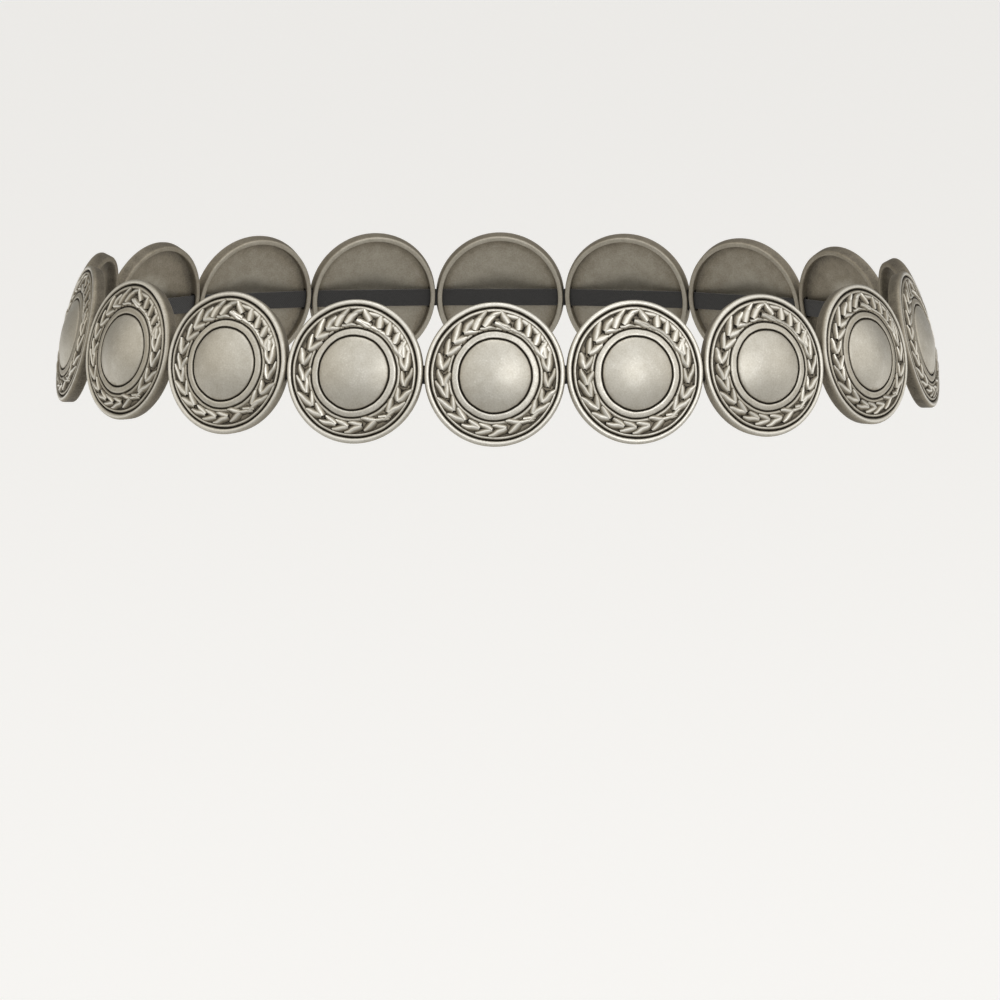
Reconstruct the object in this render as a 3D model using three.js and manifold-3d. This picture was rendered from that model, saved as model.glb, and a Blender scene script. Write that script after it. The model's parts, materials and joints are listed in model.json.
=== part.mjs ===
// Concho belt: a closed row of equal round cast discs, threaded on one flat elastic band.
// Millimetres. +Z is up, the wearer faces -Y, and the origin is the middle of the loop, at band height.
import * as THREE from 'three';
import { mergeVertices } from 'three/addons/utils/BufferGeometryUtils.js';
import Module from 'manifold-3d';

const wasm = await Module();
wasm.setup();

// The row.
const conchoCount = 18;
const conchoDiameter = 38;
const conchoHeight = 39; // the castings are a little taller than wide
const neighbourGap = 0.3; // least distance between two discs

// The band.
const bandWidth = 5;
const bandThickness = 0.8;
const slotClearance = 0.3; // free space on every side of the band in a slot

// The disc.
const conchoRadius = conchoDiameter / 2;
const rimDrop = 0.75; // the widest part of the rim lies this far behind its front plane
const rimHeight = 0.15; // the rim's crest over that plane
const wallDraft = 0.6; // the back edge is this much smaller in radius than the rim
const wallThickness = 1.3;
const faceThickness = 1.2;
const slotLip = 0.2; // wall between the face and a slot
const slotBar = 0.8; // wall between a slot and the back edge
const faceConvexity = 1.45; // the dome's foot lies this much in front of the rim plane
const domeHeight = 2; // from the dome's foot to its top
const grooveDepth = 0.4;
const leafHeight = 0.6; // a leaf's crest over the ground of the wreath
const sides = 24; // facets round the disc, and leaf pairs in the wreath

// Both are measured from the rim plane to the back.
const bandDepth = faceThickness + slotLip + slotClearance + bandThickness / 2;
const conchoDepth = bandDepth + bandThickness / 2 + slotClearance + slotBar;

// The wreath. Angles run anticlockwise from the disc's right, seen from the front.
const tieAngle = THREE.MathUtils.degToRad(305); // where the two branches are tied
const meetAngle = THREE.MathUtils.degToRad(85); // where their tips meet

// The loop that the belt lies in: a ring that is flattened at the front and back.
const flattening = THREE.MathUtils.degToRad(9.6);

// How the discs lie on the hips.
const frontLean = THREE.MathUtils.degToRad(10.1); // tops lean in, at the front and back
const sideLean = THREE.MathUtils.degToRad(13.8); // and this much at the two sides
const leftLift = 2.5; // the belt rides up this much over the hip on the viewer's left

const silver = new THREE.MeshStandardMaterial({ color: 0x8f8c86, metalness: 0.9, roughness: 0.45 });
const elastic = new THREE.MeshStandardMaterial({ color: 0x1c1a19, metalness: 0, roughness: 0.9 });

// How far a disc's middle keeps from the corner to its neighbour, when the two turn by twice this angle.
// They come closest either at their rims or at their back edges.
function reachFor(halfTurn) {
  const need = (radius, depth) => radius
    + (neighbourGap / 2 + (depth - bandDepth) * Math.sin(halfTurn)) / Math.cos(halfTurn);
  return Math.max(need(conchoRadius, rimDrop), need(conchoRadius - wallDraft, conchoDepth));
}

// The way each disc faces along the loop, seen from above. The first one runs to the viewer's right.
function discAngles(skew) {
  return Array.from({ length: conchoCount }, (_, k) => {
    const a = (2 * Math.PI * k) / conchoCount;
    return a - flattening * Math.sin(2 * a) + skew * Math.sin(a);
  });
}

// The reach at each corner. Corner k lies between disc k - 1 and disc k.
function cornerReaches(angles) {
  return angles.map((angle, k) => {
    const before = k === 0 ? angles[conchoCount - 1] - 2 * Math.PI : angles[k - 1];
    return reachFor((angle - before) / 2);
  });
}

// The skew between front and back at which the row's end meets its start.
function closingSkew() {
  let low = -0.5;
  let high = 0.5;
  for (let i = 0; i < 50; i += 1) {
    const middle = (low + high) / 2;
    const angles = discAngles(middle);
    const reaches = cornerReaches(angles);
    const lengths = reaches.map((reach, k) => reach + reaches[(k + 1) % conchoCount]);
    const drift = angles.reduce((sum, angle, k) => sum + lengths[k] * Math.cos(angle), 0);
    if (drift > 0) {
      low = middle;
    } else {
      high = middle;
    }
  }
  return (low + high) / 2;
}

// The corners of the loop in space.
function loopCorners(angles, reaches) {
  const corners = [new THREE.Vector3()];
  for (let k = 0; k + 1 < conchoCount; k += 1) {
    const length = reaches[k] + reaches[k + 1];
    const step = new THREE.Vector3(Math.cos(angles[k]), Math.sin(angles[k]), 0).multiplyScalar(length);
    corners.push(corners[k].clone().add(step));
  }
  const middle = new THREE.Box3().setFromPoints(corners).getCenter(new THREE.Vector3());
  for (const corner of corners) {
    corner.sub(middle);
    const left = Math.max(0, -corner.x / Math.hypot(corner.x, corner.y));
    corner.z = leftLift * left * left;
  }
  return corners;
}

// A disc between two corners: its axes to the right, up and out of its face, and its middle.
function discFrame(from, to, reach) {
  const right = to.clone().sub(from).normalize();
  const outward = new THREE.Vector3(right.y, -right.x, 0).normalize();
  const upright = new THREE.Vector3().crossVectors(outward, right);
  const side = outward.x * outward.x;
  const lean = frontLean + (sideLean - frontLean) * side;
  const normal = outward.clone().multiplyScalar(Math.cos(lean)).addScaledVector(upright, Math.sin(lean));
  const up = new THREE.Vector3().crossVectors(normal, right);
  const centre = from.clone().addScaledVector(right, reach).addScaledVector(normal, bandDepth);
  return { right, up, normal, centre };
}

function toManifold(geometry) {
  const bare = geometry.clone();
  bare.deleteAttribute('normal');
  bare.deleteAttribute('uv');
  const merged = mergeVertices(bare, 1e-5);
  return new wasm.Manifold(new wasm.Mesh({
    numProp: 3,
    vertProperties: new Float32Array(merged.attributes.position.array),
    triVerts: new Uint32Array(merged.index.array),
  }));
}

function toGeometry(solid) {
  const mesh = solid.getMesh();
  const geometry = new THREE.BufferGeometry();
  geometry.setAttribute('position', new THREE.BufferAttribute(new Float32Array(mesh.vertProperties), 3));
  geometry.setIndex(new THREE.BufferAttribute(new Uint32Array(mesh.triVerts), 1));
  geometry.computeVertexNormals();
  return geometry;
}

// A closed skin through a list of rings. A ring is a list of points, or one point at either end.
function skin(rings) {
  const positions = rings.flat().flatMap((p) => [p.x, p.y, p.z]);
  const starts = rings.map((_, i) => rings.slice(0, i).reduce((sum, ring) => sum + ring.length, 0));
  const index = [];
  for (let r = 0; r + 1 < rings.length; r += 1) {
    const a = rings[r].length;
    const b = rings[r + 1].length;
    const steps = Math.max(a, b);
    for (let k = 0; k < steps; k += 1) {
      const a0 = starts[r] + Math.floor((k * a) / steps) % a;
      const a1 = starts[r] + Math.floor(((k + 1) * a) / steps) % a;
      const b0 = starts[r + 1] + Math.floor((k * b) / steps) % b;
      const b1 = starts[r + 1] + Math.floor(((k + 1) * b) / steps) % b;
      if (b0 !== b1) {
        index.push(a0, b0, b1);
      }
      if (a0 !== a1) {
        index.push(a0, b1, a1);
      }
    }
  }
  const geometry = new THREE.BufferGeometry();
  geometry.setAttribute('position', new THREE.BufferAttribute(new Float32Array(positions), 3));
  geometry.setIndex(index);
  return geometry;
}

// Height of the face's ground at a radius: a straight cone from the rim up to the dome's foot.
function ground(radius) {
  const outer = 0.917 * conchoRadius;
  const inner = 0.49 * conchoRadius;
  return (faceConvexity * (outer - radius)) / (outer - inner);
}

function ring(count, radius, height, turn = 0) {
  return Array.from({ length: count }, (_, k) => {
    const angle = turn + (2 * Math.PI * k) / count;
    return new THREE.Vector3(radius * Math.cos(angle), radius * Math.sin(angle), height);
  });
}

// Which way the leaves point at an angle: +1 anticlockwise, -1 clockwise, away from the tie.
function leafDirection(angle) {
  const full = 2 * Math.PI;
  const fromTie = (((angle - tieAngle) % full) + full) % full;
  const toMeet = (((meetAngle - tieAngle) % full) + full) % full;
  return fromTie < toMeet ? 1 : -1;
}

// The wreath's middle ring. Its points lie alternately on the crest of a leaf pair and in the dark
// between two pairs, and they are drawn towards the tie, so that every pair points away from it.
function wreathRing(radius) {
  const leaf = (2 * Math.PI) / sides;
  return Array.from({ length: 2 * sides }, (_, k) => {
    const angle = (leaf * k) / 2;
    const lift = k % 2 === 0 ? leafHeight : 0;
    const drawn = angle - 0.2 * leaf * leafDirection(angle + leaf / 4);
    return new THREE.Vector3(radius * Math.cos(drawn), radius * Math.sin(drawn), ground(radius) + lift);
  });
}

function discBlank() {
  const r = (share) => share * conchoRadius;
  const foot = ground(r(0.49));
  const backRadius = conchoRadius - wallDraft;
  const hollowRadius = backRadius - wallThickness;
  const blank = toManifold(skin([
    [new THREE.Vector3(0, 0, foot + domeHeight)],
    ring(sides / 2, r(0.27), foot + 0.72 * domeHeight),
    ring(sides, r(0.49), foot),
    ring(sides, r(0.513), ground(r(0.513)) - grooveDepth),
    ring(sides, r(0.536), ground(r(0.536))),
    ring(sides, r(0.62), ground(r(0.62))),
    wreathRing(r(0.75)),
    ring(sides, r(0.875), ground(r(0.875))),
    ring(sides, r(0.917), -grooveDepth),
    ring(sides, r(0.96), rimHeight),
    ring(sides, conchoRadius, -rimDrop),
    ring(sides, backRadius, -conchoDepth),
    ring(sides / 2, hollowRadius, -conchoDepth, Math.PI / sides),
    ring(sides / 2, hollowRadius, -faceThickness, Math.PI / sides),
    [new THREE.Vector3(0, 0, foot + domeHeight - faceThickness)],
  ]));
  return blank.scale([1, conchoHeight / conchoDiameter, 1]);
}

// The disc with a slot through its wall at the left and right.
function concho() {
  const slot = wasm.Manifold.cube(
    [2.4 * conchoRadius, bandWidth + 2 * slotClearance, bandThickness + 2 * slotClearance],
    true,
  ).translate([0, 0, -bandDepth]);
  const reach = conchoRadius - wallDraft - 2 * wallThickness;
  const inside = wasm.Manifold.cube([2 * reach, 2 * conchoHeight, 2 * conchoDepth], true);
  return discBlank().subtract(slot.subtract(inside));
}

// The band: one rectangular section at each corner, in the plane that halves the turn there.
function band(corners, frames) {
  const sections = corners.map((corner, i) => {
    const before = frames[(i + conchoCount - 1) % conchoCount];
    const after = frames[i];
    const up = before.up.clone().add(after.up).normalize();
    const along = before.right.clone().add(after.right).normalize();
    const out = new THREE.Vector3().crossVectors(along, up).normalize();
    const spread = 1 / before.right.dot(along);
    const at = (u, n) => corner.clone()
      .addScaledVector(up, (u * bandWidth) / 2)
      .addScaledVector(out, (n * bandThickness * spread) / 2);
    return [at(-1, -1), at(1, -1), at(1, 1), at(-1, 1)];
  });
  const positions = sections.flat().flatMap((p) => [p.x, p.y, p.z]);
  const index = [];
  for (let i = 0; i < conchoCount; i += 1) {
    for (let k = 0; k < 4; k += 1) {
      const a = 4 * i + k;
      const b = 4 * i + ((k + 1) % 4);
      const c = 4 * ((i + 1) % conchoCount) + k;
      const d = 4 * ((i + 1) % conchoCount) + ((k + 1) % 4);
      index.push(a, b, d, a, d, c);
    }
  }
  const geometry = new THREE.BufferGeometry();
  geometry.setAttribute('position', new THREE.BufferAttribute(new Float32Array(positions), 3));
  geometry.setIndex(index);
  geometry.computeVertexNormals();
  return geometry;
}

const belt = new THREE.Group();
belt.name = 'concho_belt';

const angles = discAngles(closingSkew());
const reaches = cornerReaches(angles);
const corners = loopCorners(angles, reaches);
const frames = corners.map((corner, k) => discFrame(corner, corners[(k + 1) % conchoCount], reaches[k]));

const discGeometry = toGeometry(concho());
frames.forEach(({ right, up, normal, centre }, k) => {
  const place = new THREE.Matrix4().makeBasis(right, up, normal).setPosition(centre);
  const mesh = new THREE.Mesh(discGeometry.clone().applyMatrix4(place), silver);
  mesh.name = `concho_${String(k + 1).padStart(2, '0')}`;
  belt.add(mesh);
});

const strap = new THREE.Mesh(band(corners, frames), elastic);
strap.name = 'elastic_band';
belt.add(strap);

export default belt;
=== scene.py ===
# %% [markdown]
# A concho belt is a row of round cast discs on a flat elastic band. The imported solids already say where
# every disc sits, so they are loaded first and stay fixed. Each disc is then modelled once in fine detail,
# with its leaves and its hollow back, and a copy goes to each of the eighteen places.

# %% Load the frame
import json
import math
import random

import bpy
from mathutils import Matrix, Vector

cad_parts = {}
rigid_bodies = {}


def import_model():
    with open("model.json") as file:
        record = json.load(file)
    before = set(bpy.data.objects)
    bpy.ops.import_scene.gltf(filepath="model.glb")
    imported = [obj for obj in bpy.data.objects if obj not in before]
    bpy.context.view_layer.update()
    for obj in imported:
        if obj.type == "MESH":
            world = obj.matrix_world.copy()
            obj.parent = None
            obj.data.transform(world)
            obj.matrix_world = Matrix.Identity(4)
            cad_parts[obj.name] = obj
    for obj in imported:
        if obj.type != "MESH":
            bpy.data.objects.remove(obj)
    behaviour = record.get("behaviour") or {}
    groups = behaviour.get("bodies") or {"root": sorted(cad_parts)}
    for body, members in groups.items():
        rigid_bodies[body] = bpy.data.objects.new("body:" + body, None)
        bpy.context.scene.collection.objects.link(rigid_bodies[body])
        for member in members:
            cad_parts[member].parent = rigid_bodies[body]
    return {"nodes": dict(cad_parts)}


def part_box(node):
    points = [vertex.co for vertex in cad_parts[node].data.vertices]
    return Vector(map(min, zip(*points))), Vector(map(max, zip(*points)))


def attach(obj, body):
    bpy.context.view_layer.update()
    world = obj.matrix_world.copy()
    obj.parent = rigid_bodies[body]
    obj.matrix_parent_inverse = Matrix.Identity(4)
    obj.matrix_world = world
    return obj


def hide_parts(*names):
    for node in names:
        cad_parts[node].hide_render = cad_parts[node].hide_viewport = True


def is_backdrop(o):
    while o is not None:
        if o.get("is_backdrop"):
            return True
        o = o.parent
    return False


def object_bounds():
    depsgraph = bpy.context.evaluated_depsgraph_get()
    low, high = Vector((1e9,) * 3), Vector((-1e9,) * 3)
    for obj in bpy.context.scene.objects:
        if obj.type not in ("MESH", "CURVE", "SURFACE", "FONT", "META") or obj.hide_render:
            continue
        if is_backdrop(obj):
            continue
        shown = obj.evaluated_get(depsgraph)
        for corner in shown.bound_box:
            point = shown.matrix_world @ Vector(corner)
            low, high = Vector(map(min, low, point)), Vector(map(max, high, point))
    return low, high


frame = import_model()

cad_low, cad_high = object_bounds()
MM = 0.001
cad_size = [round((b - a) / MM, 1) for a, b in zip(cad_low, cad_high)]
print("nodes:", len(frame["nodes"]), "box in mm:", cad_size)

# %% [markdown]
# The row's layout repeats the named sizes of the solids. The discs turn against each other all round an
# oval ring, and each pair is as close as its rims or its back edges let it be. A small skew makes the oval
# close on itself, and halving a range again and again finds it. Working the places out once more gives
# every disc its own axes, which the loose triangles of the loaded nodes don't hold.

# %% Sizes of the row, in millimetres
CONCHO_COUNT = 18
CONCHO_RADIUS = 19.0
CONCHO_HEIGHT = 39.0
NEIGHBOUR_GAP = 0.3
RIM_DROP = 0.75
WALL_DRAFT = 0.6
BAND_WIDTH = 5.0
BAND_THICKNESS = 0.8
SLOT_CLEARANCE = 0.3
BAND_DEPTH = 2.1
CONCHO_DEPTH = 3.6
FLATTENING = math.radians(9.6)
FRONT_LEAN = math.radians(10.1)
SIDE_LEAN = math.radians(13.8)
LEFT_LIFT = 2.5
SKEW_LIMIT = 0.5
SKEW_HALVINGS = 50


def reach_for(half_turn):
    """From a disc's middle to the corner, when neighbours turn by twice this angle."""
    def need(radius, depth):
        return radius + (NEIGHBOUR_GAP / 2 + (depth - BAND_DEPTH) * math.sin(half_turn)) / math.cos(half_turn)
    return max(need(CONCHO_RADIUS, RIM_DROP), need(CONCHO_RADIUS - WALL_DRAFT, CONCHO_DEPTH))


def disc_angles(skew):
    """Which way each disc's stretch of band runs, flatter in front and behind than at the ends."""
    steps = [2 * math.pi * k / CONCHO_COUNT for k in range(CONCHO_COUNT)]
    return [a - FLATTENING * math.sin(2 * a) + skew * math.sin(a) for a in steps]


def corner_reaches(angles):
    before = [angles[-1] - 2 * math.pi] + angles[:-1]
    return [reach_for((a - b) / 2) for a, b in zip(angles, before)]


def drift(skew):
    """How far the row's end misses its start."""
    angles = disc_angles(skew)
    reaches = corner_reaches(angles)
    return sum((r + s) * math.cos(a) for r, s, a in zip(reaches, reaches[1:] + reaches[:1], angles))


low_skew, high_skew = -SKEW_LIMIT, SKEW_LIMIT
for _ in range(SKEW_HALVINGS):
    skew = (low_skew + high_skew) / 2
    if drift(skew) > 0:
        low_skew = skew
    else:
        high_skew = skew
angles = disc_angles(skew)
reaches = corner_reaches(angles)
print("turns in degrees:", [round(math.degrees(b - a), 1) for a, b in zip(angles, angles[1:9])])

# %% [markdown]
# The band bends at a corner between every two discs, so the corners are laid out first, one after the
# other. The row rises a little at the viewer's left, as in the photograph. Each disc stands on its own
# stretch of band and faces out and a little up. A matrix carries the master disc there, which is surer
# than turning eighteen objects by hand.

# %% Places of the discs
corners = [Vector((0, 0, 0))]
for k in range(CONCHO_COUNT - 1):
    along = Vector((math.cos(angles[k]), math.sin(angles[k]), 0))
    corners.append(corners[-1] + along * (reaches[k] + reaches[k + 1]))
middle = Vector([(min(c[i] for c in corners) + max(c[i] for c in corners)) / 2 for i in range(3)])
corners = [c - middle for c in corners]
for c in corners:
    left = max(0.0, -c.x / math.hypot(c.x, c.y))
    c.z = LEFT_LIFT * left * left


def disc_frame(start, end, reach):
    """Right, up, out and the middle of a disc between two corners."""
    right = (end - start).normalized()
    outward = Vector((right.y, -right.x, 0)).normalized()
    upright = outward.cross(right)
    lean = FRONT_LEAN + (SIDE_LEAN - FRONT_LEAN) * outward.x ** 2
    normal = outward * math.cos(lean) + upright * math.sin(lean)
    return right, normal.cross(right), normal, start + right * reach + normal * BAND_DEPTH


discs = [disc_frame(corners[k], corners[(k + 1) % CONCHO_COUNT], reaches[k]) for k in range(CONCHO_COUNT)]


def place_of(k):
    """The matrix that carries the master disc, in millimetres, to place k, in metres."""
    right, up, normal, centre = discs[k]
    turn = Matrix((right, up, normal)).transposed().to_4x4()
    return Matrix.Scale(MM, 4) @ Matrix.Translation(centre) @ turn


farthest = 0.0
for k in range(CONCHO_COUNT):
    low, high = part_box(f"concho_{k + 1:02d}")
    farthest = max(farthest, ((low + high) / 2 / MM - discs[k][3]).length)
print("farthest that a disc's middle lies from the middle of its node's box, in mm:", round(farthest, 2))

# %% [markdown]
# The photograph was taken with a long lens from a little above the belt, a touch to the right of the
# middle disc. The numbers here were found by laying the discs' grooves over those in the photograph. A
# camera can be aimed with a constraint, but a matrix of its own three axes also holds the slight roll.

# %% Camera
CAMERA_DISTANCE = 2.0
CAMERA_AZIMUTH = math.radians(0.477)
CAMERA_ELEVATION = math.radians(6.628)
AIM_DOWN = math.radians(1.341)
AIM_SIDE = math.radians(-0.014)
CAMERA_ROLL = math.radians(-0.239)
FOCAL_SHARE = 7.0813
SENSOR_WIDTH = 36
FARTHEST_SEEN = 50

camera_data = bpy.data.cameras.new("camera")
camera = bpy.data.objects.new("camera", camera_data)
bpy.context.scene.collection.objects.link(camera)
bpy.context.scene.camera = camera
camera_data.sensor_width = SENSOR_WIDTH
camera_data.lens = FOCAL_SHARE * camera_data.sensor_width
camera_data.clip_end = FARTHEST_SEEN
tilt = CAMERA_ELEVATION + AIM_DOWN
heading = CAMERA_AZIMUTH + AIM_SIDE
look = Vector((-math.sin(heading) * math.cos(tilt), math.cos(heading) * math.cos(tilt), -math.sin(tilt)))
side = Vector((math.cos(heading), math.sin(heading), 0))
above = side.cross(look)
side_rolled = side * math.cos(CAMERA_ROLL) + above * math.sin(CAMERA_ROLL)
above_rolled = side_rolled.cross(look)
stand = Vector((math.sin(CAMERA_AZIMUTH) * math.cos(CAMERA_ELEVATION),
                -math.cos(CAMERA_AZIMUTH) * math.cos(CAMERA_ELEVATION), math.sin(CAMERA_ELEVATION)))
camera.matrix_world = (Matrix.Translation(stand * CAMERA_DISTANCE)
                       @ Matrix((side_rolled, above_rolled, -look)).transposed().to_4x4())
print("lens in mm:", round(camera_data.lens, 1))

# %% [markdown]
# The disc's body is a turned shape: dome, groove, flat ring, sunk field for the leaves, bead line, groove,
# rounded rim, side wall and hollow back. A maker would cut it on a lathe, and here Spin does the same. A
# line of points is drawn as a half section, each with a note of how worn that spot gets. Worn spots shine
# and the sunk ones keep the dark patina, and Spin carries the note round with the points.

# %% Half section of the disc
DOME_FOOT = 9.36
DOME_HEIGHT = 2.0
DOME_POINTS = 15
DOME_WORN = 0.85
DOME_FOOT_LOSS = 0.05
FACE_CONVEXITY = 1.45
CONE_OUTER = 0.917 * CONCHO_RADIUS
CONE_INNER = 0.49 * CONCHO_RADIUS


def ground(radius):
    """Height of the plain face, a flat cone that rises towards the dome."""
    return FACE_CONVEXITY * (CONE_OUTER - radius) / (CONE_OUTER - CONE_INNER)


def dome_points(count):
    """The low dome from its top to its foot, a touch less worn at the foot."""
    points = []
    for k in range(count):
        share = k / (count - 1)
        height = FACE_CONVEXITY + DOME_HEIGHT * (1 - share * share)
        points.append((DOME_FOOT * share, height, DOME_WORN - DOME_FOOT_LOSS * share ** 4))
    return points


# radius, height over the face's cone, worn
groove_and_ring = [
    (9.50, -0.10, 0.66), (9.62, -0.28, 0.14), (9.74, -0.44, 0.00), (9.90, -0.44, 0.00), (10.02, -0.24, 0.14),
    (10.12, -0.04, 0.76), (10.24, 0.03, 0.94), (10.65, 0.04, 0.88), (11.10, 0.04, 0.88), (11.46, 0.01, 0.92),
    (11.62, -0.07, 0.62), (11.74, -0.27, 0.06), (11.92, -0.32, 0.00), (12.08, -0.16, 0.16),
    (12.26, 0.03, 0.78), (12.50, 0.08, 0.92), (12.72, 0.02, 0.78), (12.92, -0.18, 0.47),
    (13.20, -0.30, 0.47), (13.80, -0.30, 0.47), (14.60, -0.30, 0.47), (15.40, -0.30, 0.47),
    (16.05, -0.32, 0.28), (16.32, -0.26, 0.16), (16.50, -0.04, 0.50), (16.66, 0.10, 0.92),
    (16.86, 0.12, 0.95), (17.06, 0.02, 0.70), (17.22, -0.22, 0.12), (17.34, -0.40, 0.00),
    (17.48, -0.41, 0.00), (17.60, -0.26, 0.12),
]
# radius, height over the rim plane, worn
rim_and_wall = [
    (17.72, -0.06, 0.62), (17.86, 0.07, 0.92), (18.08, 0.14, 1.00), (18.32, 0.14, 1.00), (18.54, 0.06, 0.94),
    (18.74, -0.10, 0.84), (18.90, -0.34, 0.72), (19.00, -0.72, 0.58), (18.93, -1.20, 0.46),
    (18.78, -2.00, 0.42), (18.58, -3.00, 0.42), (18.48, -3.36, 0.52), (18.36, -3.52, 0.66),
    (18.16, -3.60, 0.70), (17.50, -3.60, 0.66), (17.24, -3.54, 0.64), (17.10, -3.38, 0.58),
    (17.10, -2.60, 0.50), (17.10, -1.60, 0.40), (17.00, -1.34, 0.36), (16.70, -1.12, 0.40),
    (15.20, -0.82, 0.54), (12.80, -0.33, 0.60), (10.20, 0.20, 0.62), (7.60, 0.72, 0.63), (5.00, 1.24, 0.64),
    (2.50, 1.72, 0.64), (0.00, 1.90, 0.64),
]
half_section = dome_points(DOME_POINTS)
half_section += [(r, ground(r) + h, worn) for r, h, worn in groove_and_ring]
half_section += rim_and_wall
print("points in the half section:", len(half_section))

# %% [markdown]
# An operator acts on all that is selected, and the loaded solids come in selected. Three small helpers keep
# that in order: one clears the selection, one takes a single piece in hand, and one turns the faces of the
# mesh in edit mode outwards. They could be left out, but then a step might change a piece it shouldn't.

# %% Helpers for working by hand
ORIGIN = (0.0, 0.0, 0.0)


def deselect():
    if bpy.context.object and bpy.context.object.mode != "OBJECT":
        bpy.ops.object.mode_set(mode="OBJECT")
    bpy.ops.object.select_all(action="DESELECT")


def take(piece):
    deselect()
    piece.select_set(True)
    bpy.context.view_layer.objects.active = piece


def outward_faces():
    bpy.ops.mesh.select_all(action="SELECT")
    bpy.ops.mesh.normals_make_consistent(inside=False)


print("helpers:", deselect.__name__, take.__name__, outward_faces.__name__)

# %% [markdown]
# Spin needs a line to turn. A plane that is merged to its centre leaves one point, which moves to the top of
# the dome and is extruded along the half section. The note of wear goes on before the turn, because Spin
# copies it. The seam and the two poles are merged afterwards, and the faces turned outwards.

# %% Turn the body
TURN_STEPS = 128
SEAM_MERGE = 0.002
deselect()
bpy.ops.mesh.primitive_plane_add(size=1.0, location=ORIGIN)
body = bpy.context.object
body.name = "concho_master"
bpy.ops.object.mode_set(mode="EDIT")
bpy.ops.mesh.select_all(action="SELECT")
bpy.ops.mesh.merge(type="CENTER")
bpy.ops.transform.translate(value=(half_section[0][0], 0, half_section[0][1]))
for here, there in zip(half_section, half_section[1:]):
    step = (there[0] - here[0], 0.0, there[1] - here[1])
    bpy.ops.mesh.extrude_region_move(TRANSFORM_OT_translate={"value": step})
bpy.ops.object.mode_set(mode="OBJECT")
worn = body.data.attributes.new("worn", "FLOAT", "POINT")
for k, point in enumerate(half_section):
    worn.data[k].value = point[2]
bpy.ops.object.mode_set(mode="EDIT")
bpy.ops.mesh.select_all(action="SELECT")
bpy.ops.mesh.spin(steps=TURN_STEPS, angle=2 * math.pi, center=ORIGIN, axis=(0, 0, 1))
bpy.ops.mesh.select_all(action="SELECT")
bpy.ops.mesh.remove_doubles(threshold=SEAM_MERGE)
outward_faces()
bpy.ops.object.mode_set(mode="OBJECT")
print("body:", len(body.data.vertices), "points,", len(body.data.polygons), "faces")

# %% [markdown]
# The band passes through the side wall at the left and right. A block is set across each wall and a
# Boolean takes it away, as a milling cutter would. The block's edges are bevelled first, so the slot has
# soft ends. Faces could be deleted and bridged instead, but a cutter keeps both sides of the wall in line.

# %% Cut the slots
WALL_MIDDLE = 18.0
CUTTER_LENGTH = 3.4
CUTTER_ROUNDING = 0.35
CUTTER_SEGMENTS = 3


def slot_cutter(side_sign):
    deselect()
    bpy.ops.mesh.primitive_cube_add(size=1.0, location=(side_sign * WALL_MIDDLE, 0.0, -BAND_DEPTH))
    cutter = bpy.context.object
    opening = (CUTTER_LENGTH, BAND_WIDTH + 2 * SLOT_CLEARANCE, BAND_THICKNESS + 2 * SLOT_CLEARANCE)
    bpy.ops.transform.resize(value=opening)
    bpy.ops.object.transform_apply(location=True, rotation=False, scale=True)
    bpy.ops.object.mode_set(mode="EDIT")
    bpy.ops.mesh.select_all(action="SELECT")
    bpy.ops.mesh.bevel(offset=CUTTER_ROUNDING, segments=CUTTER_SEGMENTS, affect="EDGES")
    bpy.ops.object.mode_set(mode="OBJECT")
    return cutter


for side_sign in (-1, 1):
    cutter = slot_cutter(side_sign)
    take(body)
    cut = body.modifiers.new("slot", "BOOLEAN")
    cut.operation = "DIFFERENCE"
    cut.solver = "EXACT"
    cut.object = cutter
    bpy.ops.object.modifier_apply(modifier=cut.name)
    bpy.data.objects.remove(cutter)
print("body with its slots:", len(body.data.polygons), "faces")

# %% [markdown]
# The wreath is made of laurel leaves in pairs. Each leaf is a low shell with a ridge along its middle. It
# is widest and highest before its middle and narrows towards a blunt tip. One leaf is shaped from a grid
# and closed underneath by extruding it down. A bare plane bent by hand would do too, but the grid's rows
# and columns make the outline and the ridge a matter of two short formulas.

# %% Shape one leaf
LEAF_LENGTH = 4.4
LEAF_WIDTH = 2.0
LEAF_HEIGHT = 0.78
LEAF_ROWS = 10
LEAF_COLUMNS = 10
LEAF_SINK = 0.5
LEAF_MERGE = 0.01
# the outline is this stretch of a sine's hump, made fuller by a power
HUMP_START = 0.22
HUMP_STRETCH = 0.70
HUMP_POWER = 0.6
# the leaf's height at its stalk, what it gains from there, where it is full, and its drop to the tip
STALK_HEIGHT = 0.88
STALK_GAIN = 0.12
FULL_FROM = 0.4
DROP_FROM = 0.7
TIP_DROP = 0.30
# how much of the leaf's section is round and how much a ridged roof
ROUND_SHARE = 0.35
RIDGE_SHARE = 0.65
# the note of wear at the edge, what the ridge adds, and how far from the ridge that begins and fades
EDGE_WORN = 0.44
RIDGE_WORN = 0.56
RIDGE_REACH = 0.80
RIDGE_FADE = 0.65


def smooth(value):
    """A soft step from 0 to 1."""
    value = min(1.0, max(0.0, value))
    return value * value * (3 - 2 * value)


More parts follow.
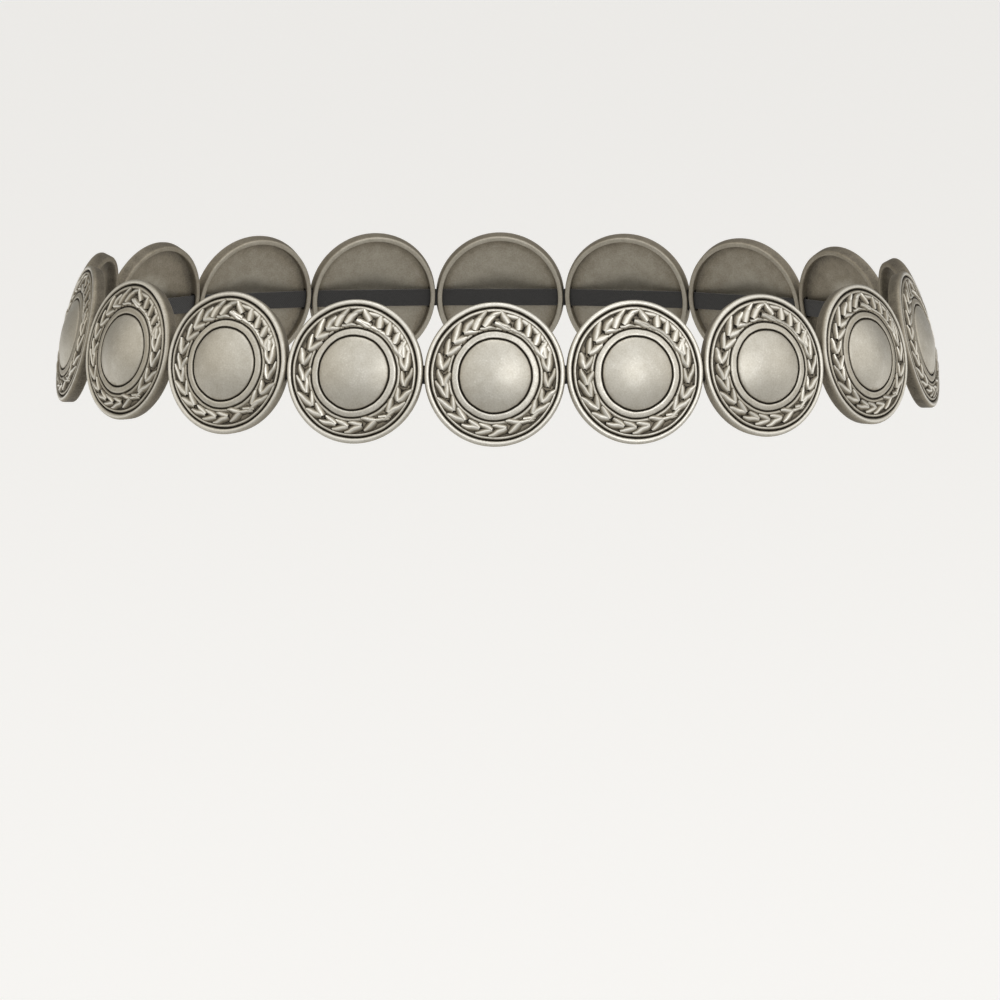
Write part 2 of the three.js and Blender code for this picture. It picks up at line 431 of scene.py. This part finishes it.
deselect()
bpy.ops.mesh.primitive_grid_add(x_subdivisions=LEAF_ROWS, y_subdivisions=LEAF_COLUMNS, size=2.0,
                                location=ORIGIN)
leaf = bpy.context.object
leaf.name = "leaf_master"
note = leaf.data.attributes.new("worn", "FLOAT", "POINT")
for v in leaf.data.vertices:
    s = (v.co.x + 1) / 2
    t = v.co.y
    hump = max(0.0, math.sin(math.pi * (HUMP_START + HUMP_STRETCH * s)))
    half_width = LEAF_WIDTH / 2 * hump ** HUMP_POWER
    stalk_part = STALK_HEIGHT + STALK_GAIN * smooth(s / FULL_FROM)
    tip_part = 1 - TIP_DROP * smooth((s - DROP_FROM) / 0.3)
    crest = LEAF_HEIGHT * stalk_part * tip_part
    roof = ROUND_SHARE * (1 - t * t) + RIDGE_SHARE * (1 - abs(t))
    v.co = (LEAF_LENGTH * s, half_width * t, crest * roof)
    note.data[v.index].value = EDGE_WORN + RIDGE_WORN * smooth((RIDGE_REACH - abs(t)) / RIDGE_FADE)
bpy.ops.object.mode_set(mode="EDIT")
bpy.ops.mesh.select_all(action="SELECT")
bpy.ops.mesh.remove_doubles(threshold=LEAF_MERGE)
bpy.ops.mesh.select_all(action="SELECT")
bpy.ops.mesh.extrude_region_move(TRANSFORM_OT_translate={"value": (0, 0, -LEAF_SINK - LEAF_HEIGHT)})
bpy.ops.transform.resize(value=(1, 1, 0), center_override=(0, 0, -LEAF_SINK))
bpy.ops.mesh.dissolve_faces()
outward_faces()
bpy.ops.object.mode_set(mode="OBJECT")
print("leaf:", len(leaf.data.vertices), "points,", len(leaf.data.polygons), "faces")

# %% [markdown]
# Two branches leave a tie at the lower right. The long one goes round the left and over the top, and the
# short one climbs the right and ends in short broad leaves. The pattern for such a casting is carved by
# hand, so every leaf differs a little, by draws from a seeded source that fall the same each time. Even
# spacing would be simpler, but it looks like a gear. First only the leaves' places are noted.

# %% Lay out the wreath
SEED = 7
FULL_TURN = 6.28
STEM_RADIUS = 14.3
TIE_ANGLE = 305
LEFT_START = 6
LEFT_PAIRS = 12
RIGHT_START = 11
RIGHT_PAIRS = 5
PAIR_STEP = 15.7
ANGLE_PLAY = 1.5
RADIUS_PLAY = 0.3
LEAN_PLAY = 8
LENGTH_RANGE = (0.86, 1.12)
WIDTH_RANGE = (1.9, 2.7)
HEIGHT_RANGE = (0.84, 1.1)
WAVE_RANGE = (0.03, 0.12)
# of a pair's outer and inner leaf: lean in degrees, length, curl
PAIR = ((19, 4.7, 0.02), (-34, 4.0, 0.03))
rng = random.Random(SEED)
leaf_places = []


def lay_leaf(angle, radius, lean, length, width, height=1.0, curl=0.0, blunt=False):
    """Notes a leaf by its stalk, how far it leans outwards from the ring's direction, and its size."""
    turn = math.radians(angle)
    foot = Vector((radius * math.cos(turn), radius * math.sin(turn), 0))
    wave = (rng.uniform(*WAVE_RANGE), rng.uniform(0, FULL_TURN))
    leaf_places.append((foot, math.radians(angle + 90 - lean),
                        (length / LEAF_LENGTH, width / LEAF_WIDTH, height), curl, wave, blunt))


def lay_pair(angle, direction):
    """A pair of leaves whose stalks meet on the stem and whose tips point along the branch."""
    angle += rng.uniform(-ANGLE_PLAY, ANGLE_PLAY)
    radius = STEM_RADIUS + rng.uniform(-RADIUS_PLAY, RADIUS_PLAY)
    for lean, length, curl in PAIR:
        turned = lean + rng.uniform(-LEAN_PLAY, LEAN_PLAY)
        lay_leaf(angle, radius, turned if direction > 0 else 180 - turned,
                 length * rng.uniform(*LENGTH_RANGE), rng.uniform(*WIDTH_RANGE),
                 rng.uniform(*HEIGHT_RANGE), math.copysign(curl, lean) * direction)


for k in range(LEFT_PAIRS):
    lay_pair(TIE_ANGLE - LEFT_START - k * PAIR_STEP, -1)
for k in range(RIGHT_PAIRS):
    lay_pair(TIE_ANGLE + RIGHT_START + k * PAIR_STEP, 1)

# past the last pair the right branch ends in short broad leaves, and the left one in a few round forms
# angle, radius, lean, length, width, height, curl, blunt
branch_ends = (
    (20, 16.0, 0, 4.8, 2.0, 0.60, 0.03), (35, 16.0, 0, 4.8, 2.1, 0.57, 0.03),
    (50, 16.0, 0, 4.8, 1.9, 0.60, 0.03), (65, 16.1, -2, 4.0, 1.6, 0.60, 0.03),
    (25, 13.6, 44, 3.2, 2.7, 0.95, -0.05, True), (30, 13.2, -6, 4.0, 1.7, 0.80, 0.03),
    (37, 13.5, 56, 3.0, 2.8, 0.92, -0.05, True), (44, 13.2, -6, 4.0, 1.8, 0.80, 0.03),
    (49, 13.5, 50, 3.2, 2.6, 0.96, -0.05, True), (58, 13.1, -4, 4.0, 1.7, 0.80, 0.03),
    (62, 13.6, 60, 3.0, 2.9, 0.90, -0.05, True), (72, 13.2, 6, 3.6, 1.7),
    (75, 14.2, 40, 3.4, 2.6), (90, 13.9, 205, 4.4, 2.1),
    (115, 13.3, 132, 3.9, 2.7, 0.95, -0.07, True), (109, 15.0, 158, 3.6, 1.8),
    (103, 13.3, 136, 3.8, 2.6, 0.92, -0.07, True), (96, 15.2, 164, 3.6, 1.7),
    (108, 12.9, 186, 4.0, 1.5, 0.85, -0.03),
)
for leaf_numbers in branch_ends:
    lay_leaf(*leaf_numbers)

# the stalks of the two branches cross at the tie
# angle from the tie, radius, lean, length, width, height
crossing_stalks = ((-8, 13.7, 20, 4.4, 1.5, 0.85), (-1, 13.5, 34, 3.4, 1.5, 0.92), (2, 15.0, -6, 4.2, 1.8))
for from_tie, *stalk_numbers in crossing_stalks:
    lay_leaf(TIE_ANGLE + from_tie, *stalk_numbers)
print("leaves and stalks in a wreath:", len(leaf_places))

# %% [markdown]
# On the real disc leaves and face are one piece of cast metal. So each leaf is copied to its place, set a
# little into the face, and fused with it by a Boolean. Leaves that are only laid on top would look the
# same from the front, but the disc would not be one closed solid. The solver can leave a crumb of two
# faces back to back, which is looked for and deleted.

# %% Fuse the leaves with the face
GROUND_SINK = 0.22
WAVE_PACE = 1.9


def leaf_copy(foot, heading, stretch, curl, wave, blunt):
    """A leaf at its place: stretched, curled to one side, wavy, rounded on top where blunt, on the cone."""
    mesh = leaf.data.copy()
    turn = Matrix.Rotation(heading, 4, "Z")
    for v in mesh.vertices:
        x = v.co.x * stretch[0]
        y = v.co.y * stretch[1] + curl * x * x + wave[0] * math.sin(WAVE_PACE * x + wave[1])
        point = turn @ Vector((x, y, 0)) + foot
        radius = math.hypot(point.x, point.y)
        rise = v.co.z
        if blunt and rise > 0:
            rise = LEAF_HEIGHT * (1 - (1 - rise / LEAF_HEIGHT) ** 2)
        v.co = (point.x, point.y, rise * stretch[2] + ground(radius) - GROUND_SINK)
    copy = bpy.data.objects.new("leaf", mesh)
    bpy.context.scene.collection.objects.link(copy)
    return copy


def fuse(piece):
    take(body)
    join = body.modifiers.new("fuse", "BOOLEAN")
    join.operation = "UNION"
    join.solver = "MANIFOLD"
    join.object = piece
    bpy.ops.object.modifier_apply(modifier=join.name)
    bpy.data.objects.remove(piece)


def drop_crumbs():
    """Deletes faces that lie back to back on the same points, and says how many there were."""
    take(body)
    bpy.ops.object.mode_set(mode="EDIT")
    bpy.ops.mesh.select_mode(type="FACE")
    bpy.ops.mesh.select_all(action="DESELECT")
    bpy.ops.object.mode_set(mode="OBJECT")
    first_seen = {}
    for face in body.data.polygons:
        twin = first_seen.setdefault(tuple(sorted(face.vertices)), face)
        if twin != face:
            face.select = True
            twin.select = True
    crumbs = sum(face.select for face in body.data.polygons)
    bpy.ops.object.mode_set(mode="EDIT")
    bpy.ops.mesh.delete(type="FACE")
    bpy.ops.mesh.select_mode(type="VERT")
    bpy.ops.object.mode_set(mode="OBJECT")
    return crumbs


for place in leaf_places:
    fuse(leaf_copy(*place))
bpy.data.objects.remove(leaf)
print("faces of crumbs deleted:", drop_crumbs())

# %% [markdown]
# Patina stays in the creases where a leaf meets the face or its neighbour. The Boolean makes new points
# along those lines with no note of wear, so they are easy to find: low in the field they stay dark, and
# higher up, where two leaves cross, they count as half worn. Painting the creases by hand would take an
# hour and look much the same.

# %% Patina in the creases
WREATH_INNER = 12.3
WREATH_OUTER = 17.1
WREATH_BOTTOM = -0.35
CREASE_LOW = 0.05
CREASE_HIGH = 0.50
CREASE_WORN = 0.9
worn = body.data.attributes["worn"]
creases = 0
for v in body.data.vertices:
    radius = math.hypot(v.co.x, v.co.y)
    in_wreath = WREATH_INNER < radius < WREATH_OUTER and v.co.z > WREATH_BOTTOM
    if worn.data[v.index].value == 0 and in_wreath:
        rise = v.co.z - ground(radius) + GROUND_SINK
        worn.data[v.index].value = CREASE_WORN * smooth((rise - CREASE_LOW) / (CREASE_HIGH - CREASE_LOW))
        creases += 1
print("points along creases:", creases)
print("disc with its wreath:", len(body.data.vertices), "points,", len(body.data.polygons), "faces")

# %% [markdown]
# The pattern for the mould was carved by hand, so no circle in it is perfect. The dome and its ring sit a
# little low and to the right, the fine lines waver, and the whole disc is slightly taller than wide. A sum
# of a few waves round the disc moves the points, which keeps neighbours together as noise might not.

# %% Make the carving uneven
INNER_SHIFT = (0.12, -0.48)
SHIFT_FROM = 13.0
SHIFT_FADE = 5.2
WAVER = 0.08
WAVE_COUNTS = (2, 3, 5, 7, 11, 17, 23)
WAVE_STRENGTH = (0.4, 1.0)
SWIRL = 0.35
# the side wall below the face stays as it is, and the waver fades at the middle and at the rim's edge
FACE_FROM = 1.5
FACE_FADE = 0.7
STILL_MIDDLE = 2
MIDDLE_FADE = 6
STILL_EDGE = 18.6
EDGE_FADE = 1.2
SMOOTH_BELOW = math.radians(48)
waves = [(n, rng.uniform(0, FULL_TURN), rng.uniform(*WAVE_STRENGTH) / math.sqrt(n)) for n in WAVE_COUNTS]
for v in body.data.vertices:
    radius = math.hypot(v.co.x, v.co.y)
    turn = math.atan2(v.co.y, v.co.x)
    face = smooth((v.co.z + FACE_FROM) / FACE_FADE)
    waver = sum(w * math.sin(n * turn + start + radius * SWIRL) for n, start, w in waves)
    off_middle = smooth((radius - STILL_MIDDLE) / MIDDLE_FADE)
    waver *= WAVER * face * off_middle * smooth((STILL_EDGE - radius) / EDGE_FADE)
    v.co.x += waver * math.cos(turn)
    v.co.y += waver * math.sin(turn)
    inner = face * (1 - smooth((radius - SHIFT_FROM) / SHIFT_FADE))
    v.co.x += INNER_SHIFT[0] * inner
    v.co.y += INNER_SHIFT[1] * inner
take(body)
bpy.ops.object.mode_set(mode="EDIT")
bpy.ops.mesh.select_all(action="SELECT")
bpy.ops.transform.resize(value=(1, CONCHO_HEIGHT / (2 * CONCHO_RADIUS), 1), center_override=ORIGIN)
bpy.ops.object.mode_set(mode="OBJECT")
bpy.ops.object.shade_smooth_by_angle(angle=SMOOTH_BELOW)
print("size in mm:", [round(d, 2) for d in body.dimensions])

# %% [markdown]
# Both finishes are built from a few kinds of shader node: noise, sums, ranges, colour ramps and bumps. A
# helper for each keeps the materials short, and they read like a recipe. The nodes could also be wired in
# the editor, but a script makes the same material again every time.

# %% Node helpers
def new_material(name):
    material = bpy.data.materials.new(name)
    material.use_nodes = True
    tree = material.node_tree
    tree.nodes.clear()
    output = tree.nodes.new("ShaderNodeOutputMaterial")
    shader = tree.nodes.new("ShaderNodeBsdfPrincipled")
    tree.links.new(shader.outputs["BSDF"], output.inputs["Surface"])
    return material, tree, shader


def noise(tree, coordinates, scale, detail, roughness):
    node = tree.nodes.new("ShaderNodeTexNoise")
    node.inputs["Scale"].default_value = scale
    node.inputs["Detail"].default_value = detail
    node.inputs["Roughness"].default_value = roughness
    tree.links.new(coordinates, node.inputs["Vector"])
    return node.outputs["Fac"]


def math_node(tree, operation, *values):
    """A math node whose inputs are numbers or the outputs of other nodes."""
    node = tree.nodes.new("ShaderNodeMath")
    node.operation = operation
    for socket, value in zip(node.inputs, values):
        if isinstance(value, (int, float)):
            socket.default_value = value
        else:
            tree.links.new(value, socket)
    return node.outputs[0]


def spread(tree, value, low, high, to_low, to_high):
    """Carries a range of values to another range."""
    node = tree.nodes.new("ShaderNodeMapRange")
    for name, number in (("From Min", low), ("From Max", high), ("To Min", to_low), ("To Max", to_high)):
        node.inputs[name].default_value = number
    tree.links.new(value, node.inputs["Value"])
    return node.outputs["Result"]


def ramp(tree, value, stops):
    node = tree.nodes.new("ShaderNodeValToRGB")
    elements = node.color_ramp.elements
    while len(elements) < len(stops):
        elements.new(0.5)
    for element, (position, colour) in zip(elements, stops):
        element.position = position
        element.color = (*colour, 1)
    tree.links.new(value, node.inputs["Fac"])
    return node.outputs["Color"]


def bump(tree, height, strength, distance, under=None):
    """A bump, on top of another one where under is given."""
    node = tree.nodes.new("ShaderNodeBump")
    node.inputs["Strength"].default_value = strength
    node.inputs["Distance"].default_value = distance
    tree.links.new(height, node.inputs["Height"])
    if under is not None:
        tree.links.new(under, node.inputs["Normal"])
    return node.outputs["Normal"]


print("node helpers:", noise.__name__, math_node.__name__, spread.__name__, ramp.__name__, bump.__name__)

# %% [markdown]
# The metal is a grey cast alloy with an antique silver finish: satin and slightly warm where hands and
# cloth rub it, nearly black-brown where the patina stays in the grooves and between the leaves. The note
# of wear on the points leads, and on the discs at the belt's ends it also holds painted shade; noise breaks
# its edges, and one ramp turns the sum into colour. Roughness and metal follow the same sum, so dark spots
# are also dull. Fine bumps give the grain of a sand-cast face.

# %% Antique silver
# noise patterns: features per metre, detail, roughness
BLOTCHES = (330, 3.0, 0.6)
SPECKS = (2400, 2.0, 0.6)
GRAIN = (6500, 2.0, 0.5)
BLOTCH_SHARE = 0.20
SPECK_SHARE = 0.26
GRAIN_SHARE = 0.10
SUM_RANGE = (0.04, 0.96)
# from the deepest patina to rubbed metal
SILVER_TONES = (
    (0.00, (0.020, 0.017, 0.013)),
    (0.20, (0.100, 0.087, 0.066)),
    (0.45, (0.304, 0.270, 0.212)),
    (0.75, (0.516, 0.484, 0.412)),
    (0.92, (0.660, 0.635, 0.570)),
    (1.00, (0.830, 0.805, 0.740)),
)


def antique_silver():
    material, tree, shader = new_material("antique_silver")
    coordinates = tree.nodes.new("ShaderNodeTexCoord").outputs["Object"]
    # the note of wear, which on the discs at the belt's ends also holds painted shade
    wear_and_painted_shade = tree.nodes.new("ShaderNodeAttribute")
    wear_and_painted_shade.attribute_name = "worn"
    blotches = noise(tree, coordinates, *BLOTCHES)
    specks = noise(tree, coordinates, *SPECKS)
    grain = noise(tree, coordinates, *GRAIN)
    uneven = spread(tree, blotches, 0, 1, -0.5, 0.5)
    worn_sum = math_node(tree, "MULTIPLY_ADD", uneven, BLOTCH_SHARE, wear_and_painted_shade.outputs["Fac"])
    speckled = spread(tree, specks, 0, 1, -0.5, 0.5)
    worn_sum = math_node(tree, "MULTIPLY_ADD", speckled, SPECK_SHARE, worn_sum)
    bright = spread(tree, worn_sum, *SUM_RANGE, 0.0, 1.0)
    tree.links.new(ramp(tree, bright, SILVER_TONES), shader.inputs["Base Color"])
    tree.links.new(spread(tree, bright, 0.0, 0.45, 0.25, 1.0), shader.inputs["Metallic"])
    tree.links.new(spread(tree, bright, 0.0, 0.30, 0.15, 0.50), shader.inputs["Specular IOR Level"])
    dull = spread(tree, bright, 0.0, 1.0, 0.70, 0.36)
    tree.links.new(math_node(tree, "MULTIPLY_ADD", grain, GRAIN_SHARE, dull), shader.inputs["Roughness"])
    cast = bump(tree, blotches, 0.30, 0.10 * MM)
    fine = bump(tree, specks, 0.40, 0.03 * MM, cast)
    tree.links.new(bump(tree, grain, 0.40, 0.012 * MM, fine), shader.inputs["Normal"])
    return material


silver = antique_silver()
body.data.materials.clear()
body.data.materials.append(silver)
print("material:", silver.name)

# %% [markdown]
# Every disc is a copy of the master with a mesh of its own. Its place goes into the mesh, so the object
# stays at the origin, and the noise that reads object coordinates falls differently on each disc. The discs
# at the belt's two ends face the sides, so round their domes the note of wear is lowered as painted shade,
# but not on the highest crests, which stay bright.

# %% Copy the disc to its eighteen places
END_PAINTED_SHADE = 0.36
CREST_WORN = 0.84
DOME_MARGIN = 0.3
for k in range(CONCHO_COUNT):
    mesh = body.data.copy()
    # painted shade: the discs at the ends, which face the sides, get a lower note of wear
    unshaded_share = 1 - END_PAINTED_SHADE * discs[k][2].x ** 2
    note = mesh.attributes["worn"]
    for v in mesh.vertices:
        if math.hypot(v.co.x - INNER_SHIFT[0], v.co.y - INNER_SHIFT[1]) > DOME_FOOT + DOME_MARGIN:
            value = note.data[v.index].value
            on_crest = smooth((value - CREST_WORN) / (1 - CREST_WORN))
            note.data[v.index].value = value * (unshaded_share + (1 - unshaded_share) * on_crest)
    mesh.transform(place_of(k))
    mesh.name = f"concho_{k + 1:02d}_cast"
    piece = bpy.data.objects.new(mesh.name, mesh)
    bpy.context.scene.collection.objects.link(piece)
    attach(piece, "root")
    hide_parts(f"concho_{k + 1:02d}")
bpy.data.objects.remove(body)
print("discs placed:", CONCHO_COUNT)

# %% [markdown]
# The elastic is a flat woven band. Its solid already has the right route, so it is copied and the doubled
# points of its triangles are merged. Each face gets coordinates along and across the band, so the weave
# follows the band round the loop. A small bevel then softens its edges and the bends between discs.

# %% Shape the band
BAND_MERGE = 0.01
BAND_ROUNDING = 0.2
BAND_SEGMENTS = 3
BAND_SMOOTH_BELOW = math.radians(35)
# how much of the band's thickness counts across, so that its narrow edges get a pattern too
EDGE_SHARE = 0.5
spans = [a + b for a, b in zip(reaches, reaches[1:] + reaches[:1])]


def nearest_span(point):
    """The stretch of band between two corners whose middle lies nearest to a point."""
    def away(k):
        return (point - (corners[k] + corners[(k + 1) % CONCHO_COUNT]) / 2).length
    return min(range(CONCHO_COUNT), key=away)


band = bpy.data.objects.new("elastic_band_woven", frame["nodes"]["elastic_band"].data.copy())
bpy.context.scene.collection.objects.link(band)
take(band)
bpy.ops.object.mode_set(mode="EDIT")
bpy.ops.mesh.select_all(action="SELECT")
bpy.ops.mesh.remove_doubles(threshold=BAND_MERGE * MM)
bpy.ops.mesh.tris_convert_to_quads()
outward_faces()
bpy.ops.object.mode_set(mode="OBJECT")
weave = band.data.uv_layers.new(name="weave")
for face in band.data.polygons:
    k = nearest_span(face.center / MM)
    right, up, normal, _ = discs[k]
    for loop in face.loop_indices:
        point = band.data.vertices[band.data.loops[loop].vertex_index].co / MM - corners[k]
        across = point.dot(up) + EDGE_SHARE * point.dot(normal)
        weave.data[loop].uv = (sum(spans[:k]) + point.dot(right), across)
take(band)
bpy.ops.object.mode_set(mode="EDIT")
bpy.ops.mesh.select_all(action="SELECT")
bpy.ops.mesh.bevel(offset=BAND_ROUNDING * MM, segments=BAND_SEGMENTS, affect="EDGES")
outward_faces()
bpy.ops.object.mode_set(mode="OBJECT")
bpy.ops.object.shade_smooth_by_angle(angle=BAND_SMOOTH_BELOW)
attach(band, "root")
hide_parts("elastic_band")
print("band:", len(band.data.polygons), "faces, length in mm:", round(sum(spans)))

# %% [markdown]
# Narrow elastic is woven from fine threads along the band, crossed by ribs where the rubber lies. Two sine
# waves in the band's own coordinates, multiplied, give that small check. They drive both the shade and the
# bump, and a soft noise adds fuzz. Threads of real geometry would cost far more than the band shows.

# %% Woven elastic
THREAD_PITCH = 0.45
RIB_PITCH = 0.7
FUZZ = (3.0, 3.0, 0.6)
ELASTIC_ROUGHNESS = 0.85
ELASTIC_SHEEN = 0.25
ELASTIC_TONES = ((0.25, (0.008, 0.008, 0.008)), (0.80, (0.055, 0.053, 0.052)))


def woven_elastic():
    material, tree, shader = new_material("woven_elastic")
    along_across = tree.nodes.new("ShaderNodeUVMap")
    along_across.uv_map = "weave"
    parts = tree.nodes.new("ShaderNodeSeparateXYZ")
    tree.links.new(along_across.outputs["UV"], parts.inputs[0])

    def stripes(direction, pitch):
        turns = math_node(tree, "MULTIPLY", parts.outputs[direction], 2 * math.pi / pitch)
        return math_node(tree, "SINE", turns)

    check = math_node(tree, "MULTIPLY", stripes("Y", THREAD_PITCH), stripes("X", RIB_PITCH))
    height = spread(tree, check, -1, 1, 0, 1)
    fuzz = noise(tree, along_across.outputs["UV"], *FUZZ)
    shade = math_node(tree, "MULTIPLY_ADD", fuzz, 0.5, math_node(tree, "MULTIPLY", height, 0.5))
    tree.links.new(ramp(tree, shade, ELASTIC_TONES), shader.inputs["Base Color"])
    shader.inputs["Roughness"].default_value = ELASTIC_ROUGHNESS
    shader.inputs["Sheen Weight"].default_value = ELASTIC_SHEEN
    fuzzy = bump(tree, fuzz, 0.4, 0.05 * MM)
    tree.links.new(bump(tree, height, 0.7, 0.12 * MM, fuzzy), shader.inputs["Normal"])
    return material


elastic = woven_elastic()
band.data.materials.clear()
band.data.materials.append(elastic)
print("material:", elastic.name)

# %% [markdown]
# The belt is held up, so the floor lies well below it and gives a pale ground. A large flat plane does,
# with no wall that would hide the belt from behind. Its colour is painted darker towards the camera as
# painted shade, and a painted glow at the back keeps it as pale there as the photograph's ground, although
# the air behind the belt is darker.

# %% Floor
FLOOR_DEPTH = 0.30
FLOOR_SIZE = 30.0
FLOOR_ROUGHNESS = 0.9
# painted shade: the floor's colour runs from dark in front to pale behind
FLOOR_PAINTED_SHADE_TONES = ((0.0, (0.50, 0.498, 0.49)), (1.0, (0.82, 0.817, 0.81)))
PAINTED_SHADE_FROM = -0.7
PAINTED_SHADE_TO = 0.3
MOTTLE = (6.0, 3.0, 0.5)
MOTTLE_SHARE = 0.02
# painted light: the floor glows at the back, though it is no lamp
FLOOR_PAINTED_GLOW = 0.26
PAINTED_GLOW_COLOUR = (1.0, 0.995, 0.985, 1)
PAINTED_GLOW_FROM = -0.2
PAINTED_GLOW_TO = 0.4


def floor_with_painted_shade_and_glow():
    material, tree, shader = new_material("floor_with_painted_shade_and_glow")
    place = tree.nodes.new("ShaderNodeTexCoord").outputs["Object"]
    parts = tree.nodes.new("ShaderNodeSeparateXYZ")
    tree.links.new(place, parts.inputs[0])
    # painted shade, darker towards the camera
    painted_shade_fade = spread(tree, parts.outputs["Y"], PAINTED_SHADE_FROM, PAINTED_SHADE_TO, 0, 1)
    mottled_painted_shade = math_node(tree, "MULTIPLY_ADD", noise(tree, place, *MOTTLE), MOTTLE_SHARE, painted_shade_fade)
    tree.links.new(ramp(tree, mottled_painted_shade, FLOOR_PAINTED_SHADE_TONES), shader.inputs["Base Color"])
    shader.inputs["Roughness"].default_value = FLOOR_ROUGHNESS
    shader.inputs["Emission Color"].default_value = PAINTED_GLOW_COLOUR
    # painted glow, growing towards the back
    painted_glow = spread(tree, parts.outputs["Y"], PAINTED_GLOW_FROM, PAINTED_GLOW_TO, 0, FLOOR_PAINTED_GLOW)
    tree.links.new(painted_glow, shader.inputs["Emission Strength"])
    return material


deselect()
bpy.ops.mesh.primitive_plane_add(size=FLOOR_SIZE, location=(0, 0, -FLOOR_DEPTH))
floor = bpy.context.object
floor.name = "floor"
bpy.ops.object.transform_apply(location=True, rotation=False, scale=False)
floor.data.materials.append(floor_with_painted_shade_and_glow())
floor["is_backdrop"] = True
print("floor below the belt in mm:", round(FLOOR_DEPTH / MM))

# %% [markdown]
# The light is that of a studio. A round key light stands in front, to the right and above, and makes the
# soft highlight on each dome. A broad one hangs overhead and lights the upper rims. Round lights are used
# because a satin dome mirrors their outline. How bright a light's face looks is given, and its power is
# worked out from that, so a light can change its size and keep its look.

# %% Lights
def soft_light(name, place, size, radiance):
    """A round soft light aimed at the belt's middle, given by how bright its face is."""
    data = bpy.data.lights.new(name, "AREA")
    data.shape = "DISK"
    data.size = size
    data.energy = radiance * math.pi * math.pi * size * size / 4
    light = bpy.data.objects.new(name, data)
    bpy.context.scene.collection.objects.link(light)
    light.location = place
    light.rotation_euler = (Vector(ORIGIN) - Vector(place)).to_track_quat("-Z", "Y").to_euler()
    return light


lights = [
    soft_light("key", (0.80, -2.19, 0.58), 1.1, 2.0),
    soft_light("top", (0.0, -0.3, 2.6), 1.8, 1.3),
]
print("lights:", [light.name for light in lights])

# %% [markdown]
# Satin metal mirrors all that is round it as broad soft gradients, so most of its look comes from the air.
# A colour ramp runs from the far left over the front to the far right: warm and dim at the left, nearly
# white at the right. Behind the belt the air is darker, which the discs at the two ends mirror. A studio
# picture on a sphere would do the same, but a ramp needs no file.

# %% Studio air
# share of the way from left to right, colour
AIR_TONES = (
    (0.00, (0.660, 0.610, 0.530)), (0.10, (0.870, 0.830, 0.755)), (0.30, (0.990, 0.980, 0.955)),
    (0.50, (0.850, 0.845, 0.835)), (0.72, (0.960, 0.955, 0.945)), (1.00, (1.090, 1.050, 0.985)),
)
FRONT_AIR = 1.0
BACK_AIR = 0.30
BACK_FROM = 0.0
BACK_FULL = 0.5
world = bpy.data.worlds.new("studio_air")
bpy.context.scene.world = world
world.use_nodes = True
air = world.node_tree
direction = air.nodes.new("ShaderNodeSeparateXYZ")
air.links.new(air.nodes.new("ShaderNodeTexCoord").outputs["Generated"], direction.inputs[0])
from_left = spread(air, direction.outputs["X"], -1, 1, 0, 1)
air.links.new(ramp(air, from_left, AIR_TONES), air.nodes["Background"].inputs["Color"])
strength = spread(air, direction.outputs["Y"], BACK_FROM, BACK_FULL, FRONT_AIR, BACK_AIR)
air.links.new(strength, air.nodes["Background"].inputs["Strength"])
bpy.context.scene.view_settings.view_transform = "Standard"
print("tones in the air:", len(AIR_TONES))

# %% [markdown]
# Last, the box round the finished belt is printed, to set beside the box round the solids printed at the
# start. They should agree closely, because the carving and the weave only refine the solids.

# %% Write the sizes and finish
low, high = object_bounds()
print("visual box in mm:", [round((b - a) / MM, 1) for a, b in zip(low, high)])
